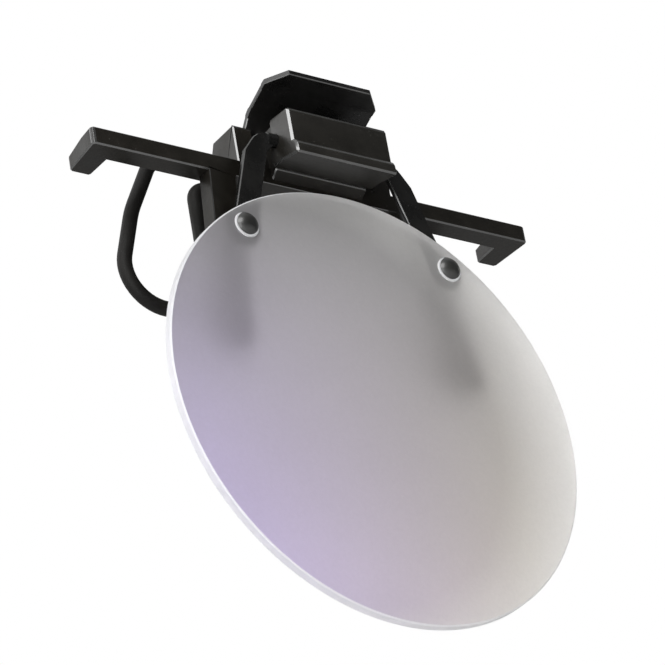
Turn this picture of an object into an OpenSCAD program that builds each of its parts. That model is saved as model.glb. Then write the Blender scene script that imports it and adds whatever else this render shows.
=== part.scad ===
// Flip-up eye blinder: a frosted round blind that clips over one lens of a pair of glasses.
// X runs to the right seen from the front, Y runs backward toward the wearer, Z runs up.
// The origin is the middle of the gap between the front feet and the rear fingers.

/* [Blind] */
// Diameter of the frosted disc
disc_d = 50; // [44:1:54]
// Thickness of the frosted disc
disc_t = 1.1; // [0.8:0.1:1.3]
// Distance from the hinge rod down to the middle of the disc
disc_drop = 31.3; // [31:0.1:34]
// Distance of each rivet from the middle plane
rivet_x = 12.9; // [12:0.1:13.5]
// Height of the rivets above the middle of the disc
rivet_up = 18.9; // [18:0.1:19.6]
// Diameter of the domed rivet heads
rivet_head_d = 2.7; // [2.2:0.1:3.2]
// Height of the domed rivet heads
rivet_head_h = 0.7; // [0.5:0.1:0.9]
// Diameter of the rivet shanks
rivet_shank_d = 1.3; // [1:0.1:1.6]
// Diameter of the washers under the rivet tails
washer_d = 2.9; // [2.4:0.1:3.2]
// Thickness of those washers
washer_t = 0.25; // [0.2:0.05:0.35]

/* [Yoke] */
// Diameter of the hinge rod
rod_d = 1.5; // [1.3:0.05:1.6]
// Running clearance round the rod
rod_play = 0.05; // [0.02:0.01:0.08]
// Depth of the flats that the leaf presses on
rod_flat = 0.12; // [0.08:0.01:0.2]
// Thickness of the two straps
strap_t = 0.6; // [0.5:0.05:0.7]
// Width of the straps
strap_w = 2.7; // [2.3:0.1:3]
// Angle at which the straps spread apart
strap_flare = 17; // [15:0.5:18]
// Diameter of the round end of each strap
strap_eye_d = 4.2; // [3.8:0.1:4.6]
// Gap between the hinge block and each strap shoulder
strap_gap = 0.3; // [0.2:0.05:0.5]

/* [Hinge block] */
// Width of the hinge block
block_w = 12.9; // [12:0.1:13.5]
// Depth of the block in front of the rod
block_front = 3.0; // [2.8:0.1:3.4]
// Height of the block above the rod
block_up = 2.9; // [2.7:0.1:3.2]
// Height of the block below the rod
block_down = 3.4; // [3.2:0.1:3.6]
// How far the lower flange steps forward
flange_step = 0.6; // [0.3:0.1:0.8]
// Height of the lower flange
flange_h = 1.5; // [1.2:0.1:1.8]
// Thickness of the leaf that brakes the rod
leaf_t = 0.3; // [0.2:0.05:0.4]
// Length of that leaf
leaf_l = 8; // [6:0.5:10]
// Height of that leaf
leaf_h = 1.4; // [1.2:0.1:1.6]

/* [Jaw] */
// Width over the two arms
arm_span = 56; // [52:1:60]
// Height of the arms
arm_h = 2.1; // [1.9:0.1:2.4]
// Depth of the arms
arm_t = 2.45; // [2.2:0.05:2.7]
// Height of the underside of the arms above the origin
arm_z = 18.5; // [18:0.1:19]
// Distance from the origin forward to the front of the arms
arm_front = 4.3; // [4.2:0.1:4.6]
// Length of the returns behind the front of the arms
return_l = 5.6; // [5:0.1:6.5]
// Thickness of the returns
return_t = 3.1; // [2.6:0.1:3.4]
// Height of the tips of the returns
return_tip_h = 1.6; // [1.4:0.1:2]
// Distance from the middle plane to the inner side of each leg at its root
leg_x = 10.5; // [10:0.1:11]
// Width of the legs
leg_w = 3.4; // [3:0.1:3.7]
// Depth of the legs
leg_t = 2; // [1.7:0.1:2.1]
// Angle at which the legs spread apart
leg_flare = 6.5; // [5:0.5:8]
// How far the legs lean forward from root to foot
leg_lean = 1.6; // [1.4:0.1:1.7]
// Height of the feet
foot_h = 6.8; // [6:0.1:7.2]
// How far the soles of the feet lie below the origin
foot_drop = 3.5; // [3.2:0.1:4]
// Thickness of the soft pads on the feet
pad_t = 0.8; // [0.6:0.1:1]
// Width over the two lever lugs
lug_span = 19.8; // [19:0.1:20.4]
// Height of the lever lugs above the arms
lug_h = 4.4; // [4:0.1:4.8]

/* [Lever] */
// Width of the thumb lever
lever_w = 14.4; // [13.6:0.1:14.8]
// Thickness of the lever sheet
sheet_t = 0.6; // [0.5:0.05:0.7]
// Side clearance between the lever and the lugs
lever_play = 0.3; // [0.25:0.05:0.4]
// Length of the corners cut from the thumb tab
tab_corner = 2; // [1.5:0.1:2.5]
// Diameter of the lever pin
pin_d = 1.2; // [1:0.05:1.3]
// Running clearance round the lever pin
pin_play = 0.04; // [0.02:0.01:0.08]
// Diameter of the spring wire
spring_wire = 0.4; // [0.35:0.05:0.45]
// Mean diameter of the spring coil
spring_d = 2.3; // [2.2:0.05:2.5]
// Rise of the coil in one turn
spring_pitch = 0.86; // [0.84:0.01:0.92]
// Turns in the coil
spring_turns = 6; // [5:1:7]

/* [Fingers] */
// Thickness of the lens that the clip grips
lens_gap = 2.6; // [2.4:0.1:2.8]
// Diameter of the finger wire
wire_d = 1.0; // [0.9:0.05:1.1]
// Outer diameter of the rubber sleeves
sleeve_d = 1.6; // [1.5:0.05:1.8]
// Gap between the wire and its sleeve
sleeve_play = 0.03; // [0.02:0.01:0.05]
// Distance from the middle plane to the inner run of each finger
finger_in = 11.5; // [11:0.1:12]
// Distance from the middle plane to the outer run of each finger at its foot
finger_out = 23.2; // [22:0.1:24]
// Height of the lowest run of each finger above the origin
finger_low = 4.5; // [4:0.1:5]

/* [Hidden] */
fine = 48;

rod_y = -6.5;
rod_z = 22.3;
rod_r = rod_d / 2;
rod_bore_r = rod_r + rod_play;
strap_in = block_w / 2 + strap_gap;
tongue_l = 0.9;
slot_play = 0.02;
rod_l = 2 * (strap_in + tongue_l);
strap_front = rod_y - strap_t / 2;
disc_front = strap_front - disc_t;
disc_z = rod_z - disc_drop;
rivet_z = disc_z + rivet_up;

block_back = 0.5;
lip_back = 1.2;
block_front_y = rod_y - block_front;
block_back_y = rod_y + block_back;
leaf_y = rod_y - rod_r - leaf_t - 0.02;
neck_w = block_w - 1.2;
neck_up = block_up - 0.15;
screw_x = 4;
screw_up = 1.95;
screw_d = 1.2;
screw_head_d = 2.1;
screw_head_h = 0.6;
screw_in = 1.9;

arm_top = arm_z + arm_h;
neck_back_y = -arm_front + 0.7;
pin_y = -1.6;
pin_z = arm_top + 1.7;
pin_r = pin_d / 2;
lug_w = (lug_span - lever_w) / 2 - lever_play;
pin_skin = 0.8;
pin_blind_x = lug_span / 2 - pin_skin;
pin_sunk = 0.1;

finger_y = lens_gap / 2 + sleeve_d / 2;
plate_back_y = finger_y - wire_d / 2;
plate_front_y = plate_back_y - sheet_t;
stop_gap = 0.1;
floor_back_y = plate_front_y - stop_gap;
plate_low = arm_z + 0.9;
plate_top = plate_low + 4.6;
wire_top_z = plate_low + 3.6;
wire_low_z = plate_low + 1.2;
wire_in_x = 0.8;
clamp_t = 0.5;
clamp_w = 9;
rivet_small_d = 1.0;
clamp_rivet_x = 2.6;

foot_back_y = -lens_gap / 2;
leg_l = arm_z + foot_drop;
foot_front_y = -arm_front - leg_lean;

// One corner of a path, rounded with radius r: the points of its arc.
function unit(v) = v / norm(v);
function arc_steps(r) = r > 8 ? 4 : 7;
function round_corner(a, b, c, r) =
    let (u = unit(a - b), w = unit(c - b), half = acos(u * w) / 2, d = r / tan(half),
        m = b + unit(u + w) * r / sin(half), s = b + u * d - m, e = b + w * d - m, n = arc_steps(r))
    [for (i = [0:n]) let (t = i / n, g = 180 - 2 * half)
        m + s * sin((1 - t) * g) / sin(g) + e * sin(t * g) / sin(g)];
function round_path(p, r) = [
    p[0],
    for (i = [1:len(p) - 2]) each round_corner(p[i - 1], p[i], p[i + 1], r[i]),
    p[len(p) - 1]
];

// A solid along a list of rings, each with the same number of points.
module ringed(rings, closed = false) {
    k = len(rings[0]);
    n = len(rings);
    last = closed ? n : n - 1;
    sides = [for (i = [0:last - 1], j = [0:k - 1])
        let (a = i * k + j, b = i * k + (j + 1) % k, c = ((i + 1) % n) * k + j, d = ((i + 1) % n) * k + (j + 1) % k)
        each [[a, c, b], [b, c, d]]];
    caps = closed ? [] : [
        for (j = [1:k - 2]) [0, j, j + 1],
        for (j = [1:k - 2]) [(n - 1) * k, (n - 1) * k + j + 1, (n - 1) * k + j]];
    polyhedron(points = [for (ring = rings) each ring], faces = concat(sides, caps), convexity = 8);
}

// Rings round a flat path in the XZ plane, square to it.
function flat_rings(path, r, sides) = [
    for (i = [0:len(path) - 1])
        let (a = path[max(i - 1, 0)], b = path[min(i + 1, len(path) - 1)], t = unit(b - a), side = [t[1], 0, -t[0]])
        [for (j = [0:sides - 1]) let (g = 360 * j / sides)
            [path[i][0], 0, path[i][1]] + r * cos(g) * side + r * sin(g) * [0, 1, 0]]];

module along_x(r, x0, x1, y, z) {
    translate([x0, y, z]) rotate([0, 90, 0]) cylinder(r = r, h = x1 - x0, $fn = fine);
}

module along_y(r, y0, y1, x, z) {
    translate([x, y1, z]) rotate([90, 0, 0]) cylinder(r = r, h = y1 - y0, $fn = fine);
}

// A flat outline of (y, z) points, drawn across X from x0 to x1.
module side_plate(points, x0, x1) {
    translate([x0, 0, 0]) rotate([90, 0, 90]) linear_extrude(x1 - x0) polygon(points);
}

// Front jaw: the moulded cross bar with its returns, legs, feet, neck and lever lugs
foot_round = 1.2;
module leg() {
    z0 = -foot_drop;
    foot_top = z0 + foot_h;
    back_y = foot_back_y - pad_t;
    slope = leg_lean / leg_l;
    leg_back = -arm_front + leg_t;
    knee_y = leg_back - slope * (arm_z - foot_top);
    points = [
        [-arm_front, arm_z + arm_h / 2],
        [-arm_front, arm_z],
        [foot_front_y, z0 + foot_round],
        for (i = [1:6]) [foot_front_y + foot_round * (1 - cos(15 * i)), z0 + foot_round * (1 - sin(15 * i))],
        for (i = [0:6]) [back_y - foot_round * (1 - sin(15 * i)), z0 + foot_round * (1 - cos(15 * i))],
        [back_y, foot_top - 0.6],
        [back_y - 0.6, foot_top],
        [knee_y, foot_top],
        [leg_back, arm_z],
        [leg_back, arm_z + arm_h / 2]];
    translate([leg_x + leg_w / 2, 0, arm_z]) rotate([0, -leg_flare, 0]) translate([0, 0, -arm_z])
        side_plate(points, -leg_w / 2, leg_w / 2);
}

module arm_bar() {
    half = arm_span / 2;
    edge = 0.3;
    back = -arm_front + arm_t;
    tip = -arm_front + return_l;
    plan = [
        [-half + edge, -arm_front], [half - edge, -arm_front], [half, -arm_front + edge],
        [half - 0.4, tip - edge], [half - 0.4 - edge, tip], [half - return_t + 0.3, tip],
        [half - return_t + 0.1, tip - edge], [half - return_t, back],
        [-half + return_t, back], [-half + return_t - 0.1, tip - edge], [-half + return_t - 0.3, tip],
        [-half + 0.4 + edge, tip], [-half + 0.4, tip - edge], [-half, -arm_front + edge]];
    slope_start = back - 0.2;
    rise = [
        [-arm_front - 1, arm_top], [slope_start, arm_top], [tip, arm_z + return_tip_h],
        [tip + 1, arm_z + return_tip_h], [tip + 1, arm_z], [-arm_front - 1, arm_z]];
    intersection() {
        translate([0, 0, arm_z]) linear_extrude(arm_h) polygon(plan);
        side_plate(rise, -half - 1, half + 1);
    }
}

module lug() {
    top = arm_top + lug_h;
    points = [
        [-arm_front, arm_top - 0.2], [-arm_front, top - 0.15], [-arm_front + 0.15, top],
        [-0.45, top], [0.05, top - 1.1], [floor_back_y, pin_z - 0.1], [floor_back_y, arm_top - 0.2]];
    side_plate(points, lug_span / 2 - lug_w, lug_span / 2);
}

module neck() {
    join_y = block_back_y;
    lip_y = rod_y + lip_back;
    points = [
        [join_y, rod_z + neck_up], [neck_back_y, rod_z + neck_up - 0.1], [neck_back_y, arm_z],
        [lip_y, rod_z - block_down + 0.9], [lip_y, rod_z - rod_bore_r], [join_y, rod_z - rod_bore_r]];
    difference() {
        side_plate(points, -neck_w / 2, neck_w / 2);
        along_x(rod_bore_r, -neck_w, neck_w, rod_y, rod_z);
    }
}

// Low wall between the lugs, in front of the lever's ears
wall_t = 0.5;
wall_h = 2.4;
wall_w = lever_w + 2 * lever_play + 0.4;

module front_jaw() {
    color([0.1, 0.1, 0.09]) difference() {
        union() {
            arm_bar();
            neck();
            translate([-lug_span / 2, -arm_front + arm_t / 2, arm_z])
                cube([lug_span, floor_back_y + arm_front - arm_t / 2, arm_h]);
            translate([-wall_w / 2, neck_back_y - wall_t, arm_top - 0.2]) cube([wall_w, wall_t + 0.1, wall_h + 0.2]);
            for (side = [0, 1]) mirror([side, 0, 0]) {
                leg();
                lug();
            }
        }
        along_x(pin_r, -pin_blind_x, lug_span, pin_y, pin_z);
        for (x = [-screw_x, screw_x]) {
            along_y(screw_d / 2, block_back_y - 1, 0, x, rod_z + screw_up);
            along_y(screw_head_d / 2, neck_back_y - screw_head_h, 0, x, rod_z + screw_up);
        }
        for (x = [-clamp_rivet_x, clamp_rivet_x])
            along_y(1.1, floor_back_y - 0.7, floor_back_y + 1, x, plate_low + 0.5);
    }
}

// Soft pads on the backs of the feet
pad_round = 0.9;
pad_margin = 0.35;
module foot_pad() {
    w = leg_w - 2 * pad_margin;
    h = foot_h - 1.7;
    z0 = -foot_drop + 0.8;
    color([0.06, 0.06, 0.06]) translate([leg_x + leg_w / 2, 0, arm_z]) rotate([0, -leg_flare, 0])
        translate([0, foot_back_y, -arm_z]) rotate([90, 0, 0]) linear_extrude(pad_t) hull()
            for (x = [-1, 1], z = [0, 1])
                translate([x * (w / 2 - pad_round), z0 + pad_round + z * (h - 2 * pad_round)])
                    circle(r = pad_round, $fn = 24);
}

module left_foot_pad() { mirror([1, 0, 0]) foot_pad(); }
module right_foot_pad() { foot_pad(); }

// Hinge block: the front half of the rod bearing, with a stepped lower flange
module hinge_block() {
    corner = 0.5;
    top_front = rod_z + block_up - 0.25;
    flange_top = rod_z - block_down + flange_h;
    points = [
        [block_front_y + 0.25, top_front], [block_back_y, rod_z + block_up + 0.2],
        [block_back_y, rod_z + rod_bore_r], [rod_y, rod_z + rod_bore_r], [rod_y, rod_z - rod_bore_r],
        [rod_y + lip_back, rod_z - rod_bore_r], [rod_y + lip_back, rod_z - block_down + 0.9],
        [rod_y - 0.6, rod_z - block_down + 0.7], [block_front_y - flange_step, rod_z - block_down],
        [block_front_y - flange_step + 0.1, flange_top - 0.1], [block_front_y, flange_top + 0.4],
        [block_front_y, top_front - 0.25]];
    face = [
        [-block_w / 2, rod_z - block_down - 1], [block_w / 2, rod_z - block_down - 1],
        [block_w / 2, rod_z + block_up - corner], [block_w / 2 - corner, rod_z + block_up + 1],
        [-block_w / 2 + corner, rod_z + block_up + 1], [-block_w / 2, rod_z + block_up - corner]];
    color([0.16, 0.17, 0.15]) difference() {
        intersection() {
            side_plate(points, -block_w / 2, block_w / 2);
            translate([0, rod_y + 4, 0]) rotate([90, 0, 0]) linear_extrude(12) polygon(face);
        }
        along_x(rod_bore_r, -block_w, block_w, rod_y, rod_z);
        translate([-leaf_l / 2 - 0.1, leaf_y, rod_z - leaf_h / 2 - 0.1])
            cube([leaf_l + 0.2, leaf_t + rod_r, leaf_h + 0.2]);
        for (x = [-screw_x, screw_x])
            along_y(screw_d / 2, block_back_y - screw_in, block_back_y + 1, x, rod_z + screw_up);
    }
}

module block_screws() {
    head_y = neck_back_y - screw_head_h;
    color([0.5, 0.5, 0.5]) for (x = [-screw_x, screw_x]) difference() {
        union() {
            along_y(screw_d / 2 - 0.01, block_back_y - screw_in, head_y, x, rod_z + screw_up);
            along_y(screw_head_d / 2 - 0.02, head_y, head_y + screw_head_h, x, rod_z + screw_up);
        }
        translate([x - 0.7, head_y + screw_head_h - 0.25, rod_z + screw_up - 0.12]) cube([1.4, 1, 0.24]);
    }
}

module detent_leaf() {
    color([0.7, 0.7, 0.68]) translate([-leaf_l / 2, leaf_y, rod_z - leaf_h / 2]) cube([leaf_l, leaf_t, leaf_h]);
}

// Lever pin, pressed in from the right as far as the blind end of the left lug's bore
module lever_pin() {
    color([0.75, 0.75, 0.74])
        along_x(pin_r - 0.005, -pin_blind_x + pin_sunk / 2, lug_span / 2 - pin_sunk, pin_y, pin_z);
}

// Torsion spring: a helix round the lever pin, with a leg to the neck and a leg to the lever
spring_sides = 6;
spring_steps = 8;
spring_r = spring_d / 2;
coil_l = spring_pitch * spring_turns;
leg_reach = 1.62;
function coil_point(t) = [-coil_l / 2 + spring_pitch * t, -spring_r * sin(360 * t), spring_r * cos(360 * t)];
function coil_path() = concat(
    [[-coil_l / 2 - 0.05, -leg_reach, spring_r]],
    [for (i = [0:spring_steps * spring_turns]) coil_point(i / spring_steps)],
    [[coil_l / 2 + 0.05, 1.5, spring_r]]);
function space_rings(path, r, sides) = [
    for (i = [0:len(path) - 1])
        let (a = path[max(i - 1, 0)], b = path[min(i + 1, len(path) - 1)], t = unit(b - a),
            u = unit([1, 0, 0] - t * t[0]), w = cross(t, u))
        [for (j = [0:sides - 1]) let (g = -360 * j / sides) path[i] + r * cos(g) * u + r * sin(g) * w]];
coil = coil_path();
self_gap = min([for (i = [0:len(coil) - 1], j = [i + spring_steps / 2 + 1:1:len(coil) - 1])
    norm(coil[i] - coil[j])]) - spring_wire;
echo(least_gap_of_spring_to_itself = self_gap);

module torsion_spring() {
    color([0.72, 0.72, 0.7]) translate([0, pin_y, pin_z]) ringed(space_rings(coil, spring_wire / 2, spring_sides));
}

// Thumb lever: one bent sheet with two ears, a tab over the block and a plate for the wires
ear_t = 0.6;
ear_r = 1.5;
tab_overhang = 2.95;
tab_rise = 6.95;
crown_back = 2.35;
crown_fall = 0.55;
crown_r = 4;
bend_back = 5.45;
bend_fall = 1.95;
bend_r = 2.6;
knee_front = 1.1;
knee_up = 3.4;
knee_r = 1.2;
heel_back = 0.4;
heel_up = 2.4;
heel_r = 2;
plate_r = 0.9;
tab_front_y = rod_y - tab_overhang;
tab_front_z = pin_z + tab_rise;
function tab_line(off) = round_path([
    [tab_front_y, tab_front_z + off], [tab_front_y + crown_back, tab_front_z - crown_fall + off],
    [tab_front_y + bend_back + off * 0.7, tab_front_z - bend_fall + off * 0.7],
    [pin_y - knee_front + off * 0.75, pin_z + knee_up + off * 0.7],
    [pin_y + heel_back + off * 0.7, pin_z + heel_up + off * 0.7],
    [plate_front_y + off, plate_top + off], [plate_front_y + off, plate_low]],
    [0, crown_r, bend_r, knee_r, heel_r, plate_r, 0]);
module thumb_lever() {
    under = tab_line(0);
    over = tab_line(sheet_t);
    n = len(over) - 1;
    cut = lever_w / 2;
    ear_front = pin_y - ear_r;
    color([0.12, 0.12, 0.12]) difference() {
        union() {
            difference() {
                side_plate(concat(under, [for (i = [0:n]) over[n - i]]), -cut, cut);
                for (side = [0, 1]) mirror([side, 0, 0]) translate([cut, tab_front_y - 0.05, pin_z + 1.7]) linear_extrude(10)
                    polygon([[-tab_corner, -1], [1, -1], [1, tab_corner], [0, tab_corner], [-tab_corner, 0]]);
            }
            for (side = [0, 1]) mirror([side, 0, 0]) side_plate([
                [ear_front, pin_z - ear_r * 0.4], [pin_y - ear_r * 0.4, pin_z - ear_r * 0.85],
                [pin_y + ear_r * 0.4, pin_z - ear_r * 0.85], [plate_front_y + 0.1, pin_z - ear_r * 0.4],
                [plate_front_y + 0.1, plate_top - 0.4], [pin_y + 0.4, pin_z + 2.5], [ear_front, pin_z + 2.1]],
                cut - ear_t, cut);
        }
        along_x(pin_r + pin_play, -lever_w, lever_w, pin_y, pin_z);
        for (x = [-clamp_rivet_x, clamp_rivet_x])
            along_y(rivet_small_d / 2, plate_front_y - 1, plate_back_y + 1, x, (wire_top_z + wire_low_z) / 2);
    }
}

// Clamp plate and its rivets, which hold the four wire ends against the lever
module wire_clamp() {
    y0 = plate_back_y + wire_d;
    h = wire_top_z - wire_low_z + wire_d + 0.8;
    z0 = wire_low_z - wire_d / 2 - 0.4;
    color([0.14, 0.14, 0.14]) difference() {
        union() {
            translate([-clamp_w / 2, y0, z0]) cube([clamp_w, clamp_t, h]);
            translate([-clamp_w / 2, plate_back_y, wire_low_z + wire_d / 2 + 0.05])
                cube([clamp_w, wire_d + 0.1, wire_top_z - wire_low_z - wire_d - 0.1]);
        }
        for (x = [-clamp_rivet_x, clamp_rivet_x])
            along_y(rivet_small_d / 2, 0, y0 + 2, x, (wire_top_z + wire_low_z) / 2);
    }
}

module clamp_rivets() {
    y1 = plate_back_y + wire_d + clamp_t;
    z = (wire_top_z + wire_low_z) / 2;
    color([0.6, 0.6, 0.6]) for (x = [-clamp_rivet_x, clamp_rivet_x]) {
        along_y(rivet_small_d / 2 - 0.01, plate_front_y - 0.01, y1 + 0.01, x, z);
        along_y(rivet_small_d / 2 + 0.35, y1, y1 + 0.35, x, z);
        along_y(rivet_small_d / 2 + 0.2, plate_front_y - 0.25, plate_front_y, x, z);
    }
}

// Rear fingers: wire bent to a hanging loop, with a rubber sleeve along the part that shows
finger_turn = 15.8;
function finger_run(x) = round_path([
    [x, wire_top_z], [finger_out - 6.8, wire_top_z], [finger_out - 3.3, finger_turn],
    [finger_out, finger_low], [finger_in, finger_low], [finger_in, wire_low_z], [x, wire_low_z]],
    [0, 2.6, 14, 4.4, 4.4, 1.6, 0]);
finger_path = finger_run(wire_in_x);
sleeve_x = 9.2;
sleeve_path = finger_run(sleeve_x);
wire_sides = 10;

module finger() {
    color([0.55, 0.55, 0.55]) translate([0, finger_y, 0]) ringed(flat_rings(finger_path, wire_d / 2, wire_sides));
}

module sleeve() {
    outer = flat_rings(sleeve_path, sleeve_d / 2, wire_sides);
    inner = flat_rings(sleeve_path, wire_d / 2 + sleeve_play, wire_sides);
    n = len(outer) - 1;
    loops = [for (j = [0:wire_sides - 1])
        concat([for (i = [0:n]) outer[i][j]], [for (i = [0:n]) inner[n - i][j]])];
    color([0.05, 0.05, 0.06]) translate([0, finger_y, 0]) ringed(loops, closed = true);
}

module left_finger() { mirror([1, 0, 0]) finger(); }
module right_finger() { finger(); }
module left_sleeve() { mirror([1, 0, 0]) sleeve(); }
module right_sleeve() { sleeve(); }

// Hinge rod: two flats for the leaf, and a slot at each end for a strap tongue
module hinge_rod() {
    slot_w = strap_t + slot_play;
    color([0.35, 0.35, 0.35]) difference() {
        along_x(rod_r, -rod_l / 2, rod_l / 2, rod_y, rod_z);
        translate([-leaf_l / 2 - 0.5, rod_y - rod_r - 1 + rod_flat, rod_z - rod_r]) cube([leaf_l + 1, 1, rod_d]);
        translate([-leaf_l / 2 - 0.5, rod_y - rod_r, rod_z - rod_r - 1 + rod_flat]) cube([leaf_l + 1, rod_d, 1]);
        for (side = [-1, 1])
            translate([side * rod_l / 2, rod_y, rod_z]) cube([2 * tongue_l, slot_w, rod_d + 1], center = true);
    }
}

// Strap: shoulder, flaring blade and round eye, cut from one sheet
module strap() {
    root = [strap_in + 1.27, rod_z - 2.4];
    along = [sin(strap_flare), -cos(strap_flare)];
    across = [cos(strap_flare), sin(strap_flare)];
    eye = [rivet_x, rivet_z];
    reach = (root[1] - rivet_z - 1.4) / cos(strap_flare);
    shoulder = 3.1;
    inset = 0.3;
    back = strap_front + strap_t;
    color([0.1, 0.1, 0.1]) difference() {
        union() {
            translate([0, back, 0]) rotate([90, 0, 0]) linear_extrude(strap_t) polygon([
                [strap_in, rod_z - rod_r], [strap_in, rod_z + rod_r],
                for (i = [0:4]) [strap_in + 0.4 + shoulder * sin(15 * i), rod_z + rod_r - shoulder * (1 - cos(15 * i))],
                root + across * strap_w + along * 0.5, root + across * strap_w + along * reach,
                eye + [strap_eye_d / 2 - inset, -inset], eye - [strap_eye_d / 2 - inset, inset],
                root + along * reach * 0.53, root, root + [-0.25, 0.75]]);
            along_y(strap_eye_d / 2, strap_front, back, rivet_x, rivet_z);
        }
        along_y(rivet_shank_d / 2, strap_front - 1, back + 1, rivet_x, rivet_z);
    }
}

module left_strap() { mirror([1, 0, 0]) strap(); }
module right_strap() { strap(); }

// Frosted disc with two rivet holes and a narrow bevel on both rims
module disc() {
    bevel = 0.15;
    r = disc_d / 2;
    color([0.9, 0.92, 0.95, 0.5]) difference() {
        translate([0, strap_front, disc_z]) rotate([90, 0, 0]) rotate_extrude($fn = 120)
            polygon([[0, 0], [r - bevel, 0], [r, bevel], [r, disc_t - bevel], [r - bevel, disc_t], [0, disc_t]]);
        for (x = [-rivet_x, rivet_x]) along_y(rivet_shank_d / 2, disc_front - 1, strap_front + 1, x, rivet_z);
    }
}

// Domed rivet: head in front, shank through disc, strap and washer, peened tail behind
tail_h = 0.3;
module rivet() {
    grip = disc_t + strap_t + washer_t;
    shank_r = rivet_shank_d / 2 - 0.01;
    dome_r = (pow(rivet_head_d / 2, 2) + pow(rivet_head_h, 2)) / (2 * rivet_head_h);
    color([0.05, 0.05, 0.05]) translate([rivet_x, disc_front, rivet_z]) rotate([90, 0, 0]) rotate_extrude($fn = fine)
        union() {
            intersection() {
                translate([0, rivet_head_h - dome_r]) circle(r = dome_r, $fn = 96);
                square([rivet_head_d, rivet_head_h]);
            }
            translate([0, -grip - tail_h]) square([shank_r, grip + tail_h + 0.1]);
            translate([0, -grip - tail_h]) square([shank_r + 0.35, tail_h]);
        }
}

module washer() {
    y0 = strap_front + strap_t;
    color([0.7, 0.7, 0.7]) difference() {
        along_y(washer_d / 2, y0, y0 + washer_t, rivet_x, rivet_z);
        along_y(rivet_shank_d / 2, y0 - 1, y0 + 1, rivet_x, rivet_z);
    }
}

module left_rivet() { mirror([1, 0, 0]) rivet(); }
module right_rivet() { rivet(); }
module left_washer() { mirror([1, 0, 0]) washer(); }
module right_washer() { washer(); }

front_jaw();
left_foot_pad();
right_foot_pad();
hinge_block();
block_screws();
detent_leaf();
lever_pin();
torsion_spring();
thumb_lever();
wire_clamp();
clamp_rivets();
left_finger();
right_finger();
left_sleeve();
right_sleeve();
hinge_rod();
left_strap();
right_strap();
disc();
left_rivet();
right_rivet();
left_washer();
right_washer();
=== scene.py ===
# %% [markdown]
# # A flip-up eye blinder in Blender
# A frosted disc hangs on two straps and covers one eye. The straps turn in a hinge block on a small spring
# clip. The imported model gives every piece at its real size. This lesson dresses it: each piece gets narrow
# chamfers and a finish, and the pads, wires, sleeves, spring and disc get finer meshes.

# %% Load the frame
import math

import bmesh
import bpy
from mathutils import Matrix, Vector


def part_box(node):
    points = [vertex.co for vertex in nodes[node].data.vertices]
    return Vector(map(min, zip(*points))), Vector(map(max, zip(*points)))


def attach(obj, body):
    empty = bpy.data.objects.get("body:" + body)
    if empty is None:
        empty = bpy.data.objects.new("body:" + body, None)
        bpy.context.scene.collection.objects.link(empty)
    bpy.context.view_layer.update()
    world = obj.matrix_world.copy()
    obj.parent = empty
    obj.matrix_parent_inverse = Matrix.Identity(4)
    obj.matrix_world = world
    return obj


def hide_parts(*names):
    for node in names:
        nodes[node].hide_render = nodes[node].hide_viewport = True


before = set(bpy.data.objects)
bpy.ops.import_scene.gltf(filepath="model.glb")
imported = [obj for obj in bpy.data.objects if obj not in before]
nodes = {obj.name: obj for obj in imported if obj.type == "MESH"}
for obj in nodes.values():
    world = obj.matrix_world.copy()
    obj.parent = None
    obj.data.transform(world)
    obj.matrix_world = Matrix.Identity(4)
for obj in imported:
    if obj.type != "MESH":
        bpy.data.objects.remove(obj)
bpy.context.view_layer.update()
MM = 0.001

# %% [markdown]
# ## Helpers for node trees
# A finish or a shape rule is a small tree of nodes. Writing out each node and each link hides the idea. So one
# helper adds a node and fills its sockets by name, with a plain value or with another node's output. The others
# stand for the sums, lengths, ranges and mixes that most trees use.


# %% Node helpers
# A mix node has sockets of the same names for each kind, so these are found by their numbers: first, second, result.
MIX_SOCKETS = {"FLOAT": (2, 3, 0), "RGBA": (6, 7, 2)}


def fill(tree, socket, value):
    """Links the socket to another node's output, or sets it to a plain value."""
    if isinstance(value, bpy.types.NodeSocket):
        tree.links.new(value, socket)
    else:
        socket.default_value = value


def add_node(tree, kind, **settings):
    """A new node of that kind. Each setting names a socket to fill or a property to set."""
    made = tree.nodes.new(kind)
    for name, value in settings.items():
        label = name.replace("_", " ").title()
        if isinstance(value, bpy.types.NodeSocket) or not hasattr(made, name):
            fill(tree, made.inputs[label], value)
        else:
            setattr(made, name, value)
    return made


def calculate(tree, operation, *terms):
    """The result of a sum on plain values or other nodes' outputs."""
    made = add_node(tree, "ShaderNodeMath", operation=operation)
    for socket, term in zip(made.inputs, terms):
        fill(tree, socket, term)
    return made.outputs[0]


def measure(tree, operation, *vectors):
    """A number from one or two vectors, such as a length or a distance."""
    made = add_node(tree, "ShaderNodeVectorMath", operation=operation)
    for socket, vector in zip(made.inputs, vectors):
        fill(tree, socket, vector)
    return made.outputs["Value"]


def remap(tree, value, before=(0.0, 1.0), after=(0.0, 1.0)):
    """The value carried from one range to another, and held at the ends."""
    made = add_node(tree, "ShaderNodeMapRange", value=value, from_min=before[0], from_max=before[1],
                    to_min=after[0], to_max=after[1])
    return made.outputs["Result"]


def mix(tree, kind, factor, first, second, **settings):
    """The first value or colour where the factor is 0, and the second where it is 1."""
    made = add_node(tree, "ShaderNodeMix", data_type=kind, factor=factor, **settings)
    first_at, second_at, result_at = MIX_SOCKETS[kind]
    fill(tree, made.inputs[first_at], first)
    fill(tree, made.inputs[second_at], second)
    return made.outputs[result_at]


# %% [markdown]
# ## A group for handled surfaces
# Every black surface of the clip shows the same three things at its own strength: a fine grain from the mould
# or the coating, soft patches that handling has polished, and a few pale specks of dust. They could be painted
# on, but a group of noises on Object coordinates stays on the piece when it moves and serves every finish.

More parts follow.
